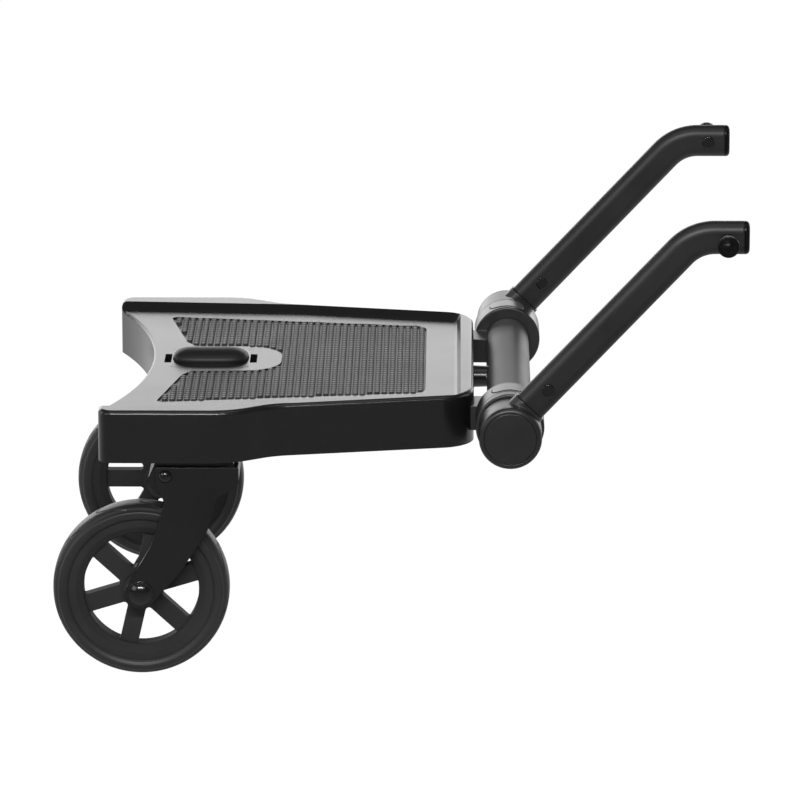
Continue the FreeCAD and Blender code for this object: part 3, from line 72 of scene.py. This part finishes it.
# Rubber mat: round studs with soft domes, on a grid that starts at the mat's front edge. A stud stands
# where the mat reaches as far as the room round its centre. The profile is (radius, height above the
# mat's sheet) in mm.
MAT_THICKNESS = 1.6 * MM
STUD_PITCH = Vector((6.2, 6.3)) * MM
STUD_START = 3.7 * MM
STUD_ROOM = 2.25 * MM
STUD_ROOM_POINTS = 8
STUD_SIDES = 18
STUD_PROFILE = [(2.42, -0.1), (2.4, 1.8), (2.3, 2.2), (2.12, 2.36), (1.85, 2.46), (1.4, 2.5)]

# Tyre: half of its section, (radius, distance from the middle) in mm, from its bead to its crown.
TYRE_SECTION = [(61.52, 13.5), (63.6, 15.3), (66, 16.3), (68.3, 16.5), (69.5, 16.1), (70.1, 15.2),
                (70.5, 14.3), (71.4, 13.5), (72.7, 12.5), (73.8, 10.7), (74.6, 8), (74.92, 4.5), (75, 0)]
TYRE_STEPS = 1440
SECTION_STEP = 0.7 * MM

# Tyre grooves: how far each turns about the axle on its way out, how strongly it bends, where it starts
# and ends along the surface from the crown, its half width at both, its depth and its walls' steepness.
GROOVES = 12
GROOVE_SWEEP = math.radians(21)
GROOVE_BEND = 1.5
GROOVE_RUN = (1.5 * MM, 15 * MM)
GROOVE_HALF = (0.9 * MM, 0.45 * MM)
GROOVE_DEPTH = 1.1 * MM
GROOVE_STEEPNESS = 1.6

# Lift grip: a pillow of soft plastic, a little fuller than its solid; its widest line's rise above its
# underside, and its tuck below that line.
GRIP_FULLER = Vector((0.2, 2, 1.4)) * MM
GRIP_EQUATOR = 8 * MM
GRIP_TUCK = 6 * MM
GRIP_SQUARENESS = 3.2
GRIP_AROUND = 96
GRIP_LEVELS = 14

# Soft swelling of the deck round the grip: gap to the grip, half sizes and squareness at its foot, rise,
# the depth of its inner wall, its foot's lift off the floor and the depth of its outer wall. The profile
# is (share of the way out, share of the rise).
SURROUND_GAP = 0.4 * MM
SURROUND_HALF = Vector((33.9, 30.6)) * MM
SURROUND_SQUARENESS = 14
SURROUND_RISE = 0.4 * MM
SURROUND_DEPTH = 8 * MM
SURROUND_LIFT = 0.03 * MM
SURROUND_SKIRT = 1 * MM
SURROUND_PROFILE = [(0, 0.6), (0.02, 0.9), (0.05, 1), (0.35, 0.72), (0.7, 0.28)]
SURROUND_AROUND = 384

# Edges that turn by more degrees than these stay crisp.
CRISP_CAD = 35
CRISP_TREAD = 50
CRISP_SOFT = 60

# Looks: reach and samples of the rounded look of edges; noise, in features per metre, for the uneven tone
# and gloss and for the fine grain; the spread of the noise that is used; how much of the mottle shows in
# the gloss; and a slight tint of blue.
EDGE = 0.5 * MM
EDGE_SAMPLES = 16
TONE_SCALE = 22
TONE_DETAIL = 4
GRAIN_DETAIL = 2
NOISE_SPREAD = (0.3, 0.7)
MOTTLE_IN_GLOSS = 0.25
COOL_TINT = 1.02

# What sets each material apart: its level of grey, its roughness, and where it differs the rest.
LOOKS = {
    "deck_plastic": dict(level=0.005, roughness=0.25, specular=0.5, grain=1100, depth=0.005 * MM,
                         mottle=0.04),
    "mat_rubber": dict(level=0.033, roughness=0.4, specular=0.5, grain=1500, depth=0.03 * MM,
                       edge=0.2 * MM),
    "grip_plastic": dict(level=0.007, roughness=0.48),
    "webbing": dict(level=0.02, roughness=0.85, specular=0.1, grain=700, depth=0.3 * MM),
    "collar_plastic": dict(level=0.016, roughness=0.34, specular=0.5, edge=1 * MM),
    "band_plastic": dict(level=0.016, roughness=0.36, specular=0.5),
    "button_plastic": dict(level=0.08, roughness=0.35, specular=0.5),
    "cap_plastic": dict(level=0.013, roughness=0.34, specular=0.4, edge=1.2 * MM),
    "tube_paint": dict(level=0.05, roughness=0.5, specular=0.5),
    "arm_paint": dict(level=0.01, roughness=0.44, specular=0.4, grain=1600, depth=0.01 * MM, edge=2 * MM),
    "stud_plastic": dict(level=0.003, roughness=0.3, specular=0.14),
    "black_steel": dict(level=0.004, roughness=0.14, specular=0.5, grain=600, depth=0.005 * MM),
    "bare_steel": dict(level=0.5, roughness=0.35, specular=0.5, depth=0.02 * MM, mottle=0.05, metallic=1),
    "caster_plastic": dict(level=0.006, roughness=0.34, specular=0.35, grain=1300, depth=0.01 * MM,
                           edge=0.7 * MM),
    "bush_plastic": dict(level=0.33, roughness=0.5),
    "tyre_rubber": dict(level=0.019, roughness=0.42, grain=1500, depth=0.03 * MM),
    "rim_plastic": dict(level=0.028, roughness=0.4, specular=0.012),
}

# The arms' end plugs are blacker than the other pieces of their slot.
DARKER = {f"arm_plug_{side}": "stud_plastic" for side in SIDES}

# Floor: its size, its grey and its own brightness: as the camera sees it, the share of it there that
# takes no shadow, and in reflections at a front and a back depth (Y).
FLOOR_SIZE = 40
FLOOR_LEVEL = 0.82
GLOW_SEEN = 1.04
GLOW_SHARE = 0.96
GLOW_DEPTHS = (-0.5, 0.5)
GLOW_MIRRORED = (0.32, 0.9)

# Light: the room's own, and softboxes by place, what they face, width and height, and watts.
WHITE = (1, 1, 1, 1)
ROOM_LIGHT = 0.14
LIGHT_AIM = (0, 0, 0.2)
BACK_AIM = (0, 0, 0.3)
SOFTBOXES = {
    "softbox_top": ((0, -0.5, 2.6), LIGHT_AIM, (2.2, 1.4), 9),
    "softbox_back": ((0, 2.6, 0.62), BACK_AIM, (4.4, 1.24), 40),
    "softbox_left": ((-2.3, 0.4, 0.9), LIGHT_AIM, (1.4, 1.6), 10),
    "softbox_right": ((2.3, 0.4, 0.9), LIGHT_AIM, (1.4, 1.6), 8),
    "strip_front": ((-0.2, -2.4, 1.7), LIGHT_AIM, (1.8, 0.06), 60),
    "softbox_front_left": ((-2.2, -1.9, 1.4), LIGHT_AIM, (1.4, 1.1), 14),
}


def link(name, data):
    """A new object in the scene."""
    piece = bpy.data.objects.new(name, data)
    bpy.context.scene.collection.objects.link(piece)
    return piece


def smooth(mesh, angle):
    """Soft shading with edges sharper than the angle kept crisp."""
    mesh.shade_smooth()
    mesh.set_sharp_from_angle(angle=math.radians(angle))


def circle(count):
    """Directions at even steps round a circle, as (cosine, sine)."""
    turns = [math.tau * k / count for k in range(count)]
    return [(math.cos(turn), math.sin(turn)) for turn in turns]


def ring_faces(rings, around, first=0, closed=False):
    """Faces between rings of points, also from the last ring to the first where they are closed."""
    ring = first + np.arange(rings)[:, None] * around + np.arange(around)
    after = np.roll(ring, -1, axis=1)
    faces = np.stack([ring, after, np.roll(after, -1, axis=0), np.roll(ring, -1, axis=0)], axis=-1)
    return faces[:rings if closed else -1].reshape(-1, 4).tolist()


def new_mesh(name, verts, faces, angle):
    """A softly shaded mesh."""
    mesh = bpy.data.meshes.new(name)
    mesh.from_pydata(verts, [], faces)
    mesh.validate()
    smooth(mesh, angle)
    return mesh


def add_piece(mesh, body, slot, stands_for=()):
    """A piece in the part's frame, named as its mesh, that rides on a body."""
    piece = link(mesh.name, mesh)
    piece.data.materials.append(MATERIALS[slot])
    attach(piece, body)
    if stands_for:
        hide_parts(*stands_for)


# Materials.

def noise(tree, scale, detail):
    """Noise in the object's own space, in features per metre."""
    place = tree.nodes.new("ShaderNodeTexCoord")
    texture = tree.nodes.new("ShaderNodeTexNoise")
    texture.inputs["Scale"].default_value = scale
    texture.inputs["Detail"].default_value = detail
    tree.links.new(place.outputs["Object"], texture.inputs["Vector"])
    return texture.outputs["Fac"]


def ranged(tree, value, low, high, spread=NOISE_SPREAD):
    """Turn the spread of a value into a range between two levels."""
    node = tree.nodes.new("ShaderNodeMapRange")
    for socket, level in zip(("From Min", "From Max", "To Min", "To Max"), (*spread, low, high)):
        node.inputs[socket].default_value = level
    tree.links.new(value, node.inputs["Value"])
    return node.outputs["Result"]


def mixed(tree, factor, first, second):
    """Mix two colours."""
    node = tree.nodes.new("ShaderNodeMix")
    node.data_type = "RGBA"
    tree.links.new(factor, node.inputs["Factor"])
    for name, colour in (("A", first), ("B", second)):
        socket = [s for s in node.inputs if s.name == name and s.type == "RGBA"][0]
        socket.default_value = (*colour, 1)
    return [s for s in node.outputs if s.type == "RGBA"][0]


def bump(tree, shader, height, depth, edge):
    """A fine grain over edges that look broken by a small radius."""
    soft = tree.nodes.new("ShaderNodeBevel")
    soft.inputs["Radius"].default_value = edge
    soft.samples = EDGE_SAMPLES
    node = tree.nodes.new("ShaderNodeBump")
    node.inputs["Distance"].default_value = depth
    tree.links.new(height, node.inputs["Height"])
    tree.links.new(soft.outputs["Normal"], node.inputs["Normal"])
    tree.links.new(node.outputs["Normal"], shader.inputs["Normal"])


def grey(level):
    """A grey with the slight tint."""
    return (level, level, level * COOL_TINT)


def surface(name, level, roughness, specular=0.3, grain=900, depth=0.05 * MM, mottle=0.12, metallic=0,
            edge=EDGE):
    """A moulded or painted surface: slightly uneven tone and gloss over a fine grain."""
    material = bpy.data.materials.new(name)
    material.use_nodes = True
    tree = material.node_tree
    shader = tree.nodes["Principled BSDF"]
    shader.inputs["Specular IOR Level"].default_value = specular
    shader.inputs["Metallic"].default_value = metallic
    broad = noise(tree, TONE_SCALE, TONE_DETAIL)
    fine = noise(tree, grain, GRAIN_DETAIL)
    tone = mixed(tree, ranged(tree, broad, 0, 1), grey(level * (1 - mottle)), grey(level * (1 + mottle)))
    uneven = mottle * MOTTLE_IN_GLOSS
    gloss = ranged(tree, broad, roughness - uneven, roughness + uneven)
    tree.links.new(tone, shader.inputs["Base Color"])
    tree.links.new(gloss, shader.inputs["Roughness"])
    bump(tree, shader, fine, depth, edge)
    return material


MATERIALS = {name: surface(name, **look) for name, look in LOOKS.items()}


def dress_cad_nodes():
    """Give every CAD node its material, with its finely rounded edges, and softened shading."""
    slots = {part["node"]: part["material_slot"] for part in frame["record"]["subparts"]}
    for name, node in NODES.items():
        node.data.materials.clear()
        node.data.materials.append(MATERIALS[DARKER.get(name, slots[name])])
        smooth(node.data, CRISP_CAD)


# Mat.

def stud_centres(mat):
    """Grid points on the mat's sheet with room for a stud."""
    mesh = bmesh.new()
    mesh.from_mesh(mat.data)
    tree = BVHTree.FromBMesh(mesh)
    mesh.free()
    low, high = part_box("tread_mat")
    room = [Vector((*direction, 0)) * STUD_ROOM for direction in circle(STUD_ROOM_POINTS)]
    above = Vector((0, 0, 1))
    columns = int((high.x - low.x) / STUD_PITCH.x)
    rows = int((high.y - low.y) / STUD_PITCH.y / 2) + 1
    for i in range(columns):
        x = high.x - STUD_START - i * STUD_PITCH.x
        for j in range(-rows, rows + 1):
            centre = Vector((x, j * STUD_PITCH.y, low.z + MAT_THICKNESS))
            if all(tree.ray_cast(centre + step + above, -above)[0] is not None for step in room):
                yield centre


def mat_studs():
    """Softly domed studs over the mat's plain ones."""
    rings = len(STUD_PROFILE)
    verts, faces = [], []
    for centre in stud_centres(NODES["tread_mat"]):
        first = len(verts)
        for radius, height in STUD_PROFILE:
            for cosine, sine in circle(STUD_SIDES):
                verts.append((centre.x + cosine * radius * MM, centre.y + sine * radius * MM,
                              centre.z + height * MM))
        faces += ring_faces(rings, STUD_SIDES, first)
        top = first + (rings - 1) * STUD_SIDES
        faces.append(list(range(top, top + STUD_SIDES)))
    mesh = new_mesh("mat_studs", verts, faces, CRISP_TREAD)
    add_piece(mesh, "deck", "mat_rubber")


# Tyres.

def tyre_section():
    """Points round the whole section with how far each lies from the crown along the surface."""
    half = [Vector(point) * MM for point in TYRE_SECTION]
    fine, run = [half[-1]], [0.0]
    for end in reversed(half[:-1]):
        start = fine[-1]
        pieces = max(1, round((end - start).length / SECTION_STEP))
        for i in range(1, pieces + 1):
            fine.append(start.lerp(end, i / pieces))
            run.append(run[-1] + (end - start).length / pieces)
    radius = np.array([point.x for point in fine])
    across = np.array([point.y for point in fine])
    run = np.array(run)
    return (np.concatenate([radius[::-1], radius[1:]]), np.concatenate([across[::-1], -across[1:]]),
            np.concatenate([run[::-1], run[1:]]))


def groove_depth(run, radius, angle):
    """How deep the grooves cut at each point of the grid."""
    start, end = GROOVE_RUN
    share = np.clip((run - start) / (end - start), 0, 1)
    line = GROOVE_SWEEP * share ** GROOVE_BEND
    slope = GROOVE_SWEEP * GROOVE_BEND * share ** (GROOVE_BEND - 1) / (end - start) * radius
    pitch = math.tau / GROOVES
    off = (angle[None, :] - line[:, None] + pitch / 2) % pitch - pitch / 2
    gap = np.abs(off) * (radius / np.sqrt(1 + slope ** 2))[:, None]
    half = (GROOVE_HALF[0] + (GROOVE_HALF[1] - GROOVE_HALF[0]) * share)[:, None]
    inside = ((run > start) & (run < end))[:, None]
    return np.where(inside, np.clip(GROOVE_STEEPNESS * (1 - gap / half), 0, 1), 0) * GROOVE_DEPTH


def tyre(side):
    """A tyre with grooves, in place of the plain one."""
    radius, across, run = tyre_section()
    angle = np.arange(TYRE_STEPS) * math.tau / TYRE_STEPS
    deep = radius[:, None] - groove_depth(run, radius, angle)
    low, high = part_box(f"tyre_{side}")
    centre = (low + high) / 2
    level = np.broadcast_to(centre.y + across[:, None], deep.shape)
    verts = np.stack([centre.x - deep * np.cos(angle), level, centre.z + deep * np.sin(angle)], axis=-1)
    faces = ring_faces(len(radius), TYRE_STEPS, closed=True)
    mesh = new_mesh(f"grooved_tyre_{side}", verts.reshape(-1, 3).tolist(), faces, CRISP_TREAD)
    add_piece(mesh, f"wheel_{side}", "tyre_rubber", (f"tyre_{side}",))


# Grip.

def superellipse(half_x, half_y, count, squareness=GRIP_SQUARENESS):
    """Points round a soft-cornered rectangle."""
    turns = np.arange(count) * math.tau / count
    power = 2 / squareness
    return np.stack([half_x * np.sign(np.cos(turns)) * np.abs(np.cos(turns)) ** power,
                     half_y * np.sign(np.sin(turns)) * np.abs(np.sin(turns)) ** power], axis=-1)


def grip_room():
    """The grip's middle, half sizes, underside and top."""
    low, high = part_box("lift_grip")
    return (low + high) / 2, (high - low) / 2 + GRIP_FULLER, low.z, high.z + GRIP_FULLER.z


def level_ring(outline, centre, height):
    """An outline round a centre, at a height."""
    return np.hstack([outline + [centre.x, centre.y], np.full((len(outline), 1), height)])


def lofted(name, rings, ends=()):
    """A mesh through rings of points, with extra faces at its ends."""
    faces = ring_faces(len(rings), len(rings[0])) + list(ends)
    return new_mesh(name, np.concatenate(rings).tolist(), faces, CRISP_SOFT)


def pillow_grip():
    """A full, soft grip in place of the plain one."""
    centre, half, underside, top = grip_room()
    equator = underside + GRIP_EQUATOR
    rings = []
    for step in range(-GRIP_LEVELS, GRIP_LEVELS + 1):
        turn = step / GRIP_LEVELS * math.pi / 2
        inset = (GRIP_TUCK if step < 0 else half.y) * (1 - math.cos(turn))
        reach = GRIP_EQUATOR if step < 0 else top - equator
        outline = superellipse(half.x - inset, half.y - inset, GRIP_AROUND)
        rings.append(level_ring(outline, centre, equator + math.sin(turn) * reach))
    mesh = lofted("pillow_grip", rings, [list(range(GRIP_AROUND))[::-1]])
    add_piece(mesh, "grip", "grip_plastic", ("lift_grip",))


def grip_surround():
    """The deck's surface swells softly up to the grip's edge."""
    centre, half, _, _ = grip_room()
    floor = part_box("tread_mat")[1].z
    inner = superellipse(half.x + SURROUND_GAP, half.y + SURROUND_GAP, SURROUND_AROUND)
    outer = superellipse(*SURROUND_HALF, SURROUND_AROUND, SURROUND_SQUARENESS)
    swelling = [(out, SURROUND_RISE * rise) for out, rise in SURROUND_PROFILE]
    profile = [(0, -SURROUND_DEPTH), *swelling, (1, SURROUND_LIFT), (1, -SURROUND_SKIRT)]
    rings = [level_ring(inner + (outer - inner) * out, centre, floor + level) for out, level in profile]
    add_piece(lofted("grip_surround", rings), "deck", "deck_plastic")


# Floor, light and camera.

def weighted(tree, chosen, value, otherwise):
    """The value where chosen is 1, and otherwise a socket's."""
    node = tree.nodes.new("ShaderNodeMix")
    node.inputs["B"].default_value = value
    tree.links.new(chosen, node.inputs["Factor"])
    tree.links.new(otherwise, node.inputs["A"])
    return node.outputs["Result"]


def stage():
    """A pale floor that the camera sees almost without shadow, darker in front where it is mirrored."""
    bpy.ops.mesh.primitive_plane_add(size=FLOOR_SIZE)
    floor = bpy.context.object
    floor.name = "floor"
    material = bpy.data.materials.new("floor_white")
    material.use_nodes = True
    tree = material.node_tree
    tree.nodes.clear()
    out = tree.nodes.new("ShaderNodeOutputMaterial")
    diffuse = tree.nodes.new("ShaderNodeBsdfDiffuse")
    diffuse.inputs["Color"].default_value = (FLOOR_LEVEL, FLOOR_LEVEL, FLOOR_LEVEL, 1)
    glow = tree.nodes.new("ShaderNodeEmission")
    path = tree.nodes.new("ShaderNodeLightPath")
    both = tree.nodes.new("ShaderNodeMixShader")
    place = tree.nodes.new("ShaderNodeTexCoord")
    axes = tree.nodes.new("ShaderNodeSeparateXYZ")
    tree.links.new(place.outputs["Object"], axes.inputs["Vector"])
    mirrored = ranged(tree, axes.outputs["Y"], *GLOW_MIRRORED, GLOW_DEPTHS)
    strength = weighted(tree, path.outputs["Is Camera Ray"], GLOW_SEEN, mirrored)
    share = weighted(tree, path.outputs["Is Camera Ray"], GLOW_SHARE, path.outputs["Is Glossy Ray"])
    tree.links.new(strength, glow.inputs["Strength"])
    tree.links.new(share, both.inputs["Fac"])
    tree.links.new(diffuse.outputs["BSDF"], both.inputs[1])
    tree.links.new(glow.outputs["Emission"], both.inputs[2])
    tree.links.new(both.outputs["Shader"], out.inputs["Surface"])
    floor.data.materials.append(material)


def world():
    """White behind the part, and a dim room for light and reflections."""
    scene = bpy.context.scene
    scene.world = bpy.data.worlds.new("studio")
    scene.world.use_nodes = True
    tree = scene.world.node_tree
    tree.nodes.clear()
    out = tree.nodes.new("ShaderNodeOutputWorld")
    room = tree.nodes.new("ShaderNodeBackground")
    room.inputs["Color"].default_value = WHITE
    room.inputs["Strength"].default_value = ROOM_LIGHT
    backdrop = tree.nodes.new("ShaderNodeBackground")
    backdrop.inputs["Color"].default_value = WHITE
    path = tree.nodes.new("ShaderNodeLightPath")
    seen = tree.nodes.new("ShaderNodeMath")
    seen.operation = "MAXIMUM"
    both = tree.nodes.new("ShaderNodeMixShader")
    tree.links.new(path.outputs["Is Camera Ray"], seen.inputs[0])
    tree.links.new(path.outputs["Is Transmission Ray"], seen.inputs[1])
    tree.links.new(seen.outputs["Value"], both.inputs["Fac"])
    tree.links.new(room.outputs["Background"], both.inputs[1])
    tree.links.new(backdrop.outputs["Background"], both.inputs[2])
    tree.links.new(both.outputs["Shader"], out.inputs["Surface"])


def lights():
    """Soft studio light."""
    for name, (place, aim, size, power) in SOFTBOXES.items():
        lamp = bpy.data.lights.new(name, "AREA")
        lamp.shape = "RECTANGLE"
        lamp.size, lamp.size_y = size
        lamp.energy = power
        box = link(name, lamp)
        box.location = place
        box.rotation_euler = (Vector(aim) - Vector(place)).to_track_quat("-Z", "Y").to_euler()


def camera():
    """The photograph's view, with colours shown plainly."""
    lens = bpy.data.cameras.new("camera")
    lens.lens = CAMERA_LENS
    lens.sensor_width = CAMERA_SENSOR
    lens.clip_end = CAMERA_REACH
    view = link("camera", lens)
    level = math.cos(CAMERA_ELEVATION)
    away = Vector((math.sin(CAMERA_TURN) * level, -math.cos(CAMERA_TURN) * level,
                   math.sin(CAMERA_ELEVATION)))
    view.location = CAMERA_AIM + away * CAMERA_DISTANCE
    view.rotation_euler = (-away).to_track_quat("-Z", "Y").to_euler()
    bpy.context.scene.camera = view
    bpy.context.scene.view_settings.view_transform = "Standard"


dress_cad_nodes()
mat_studs()
pillow_grip()
grip_surround()
for side in SIDES:
    tyre(side)
stage()
world()
lights()
camera()
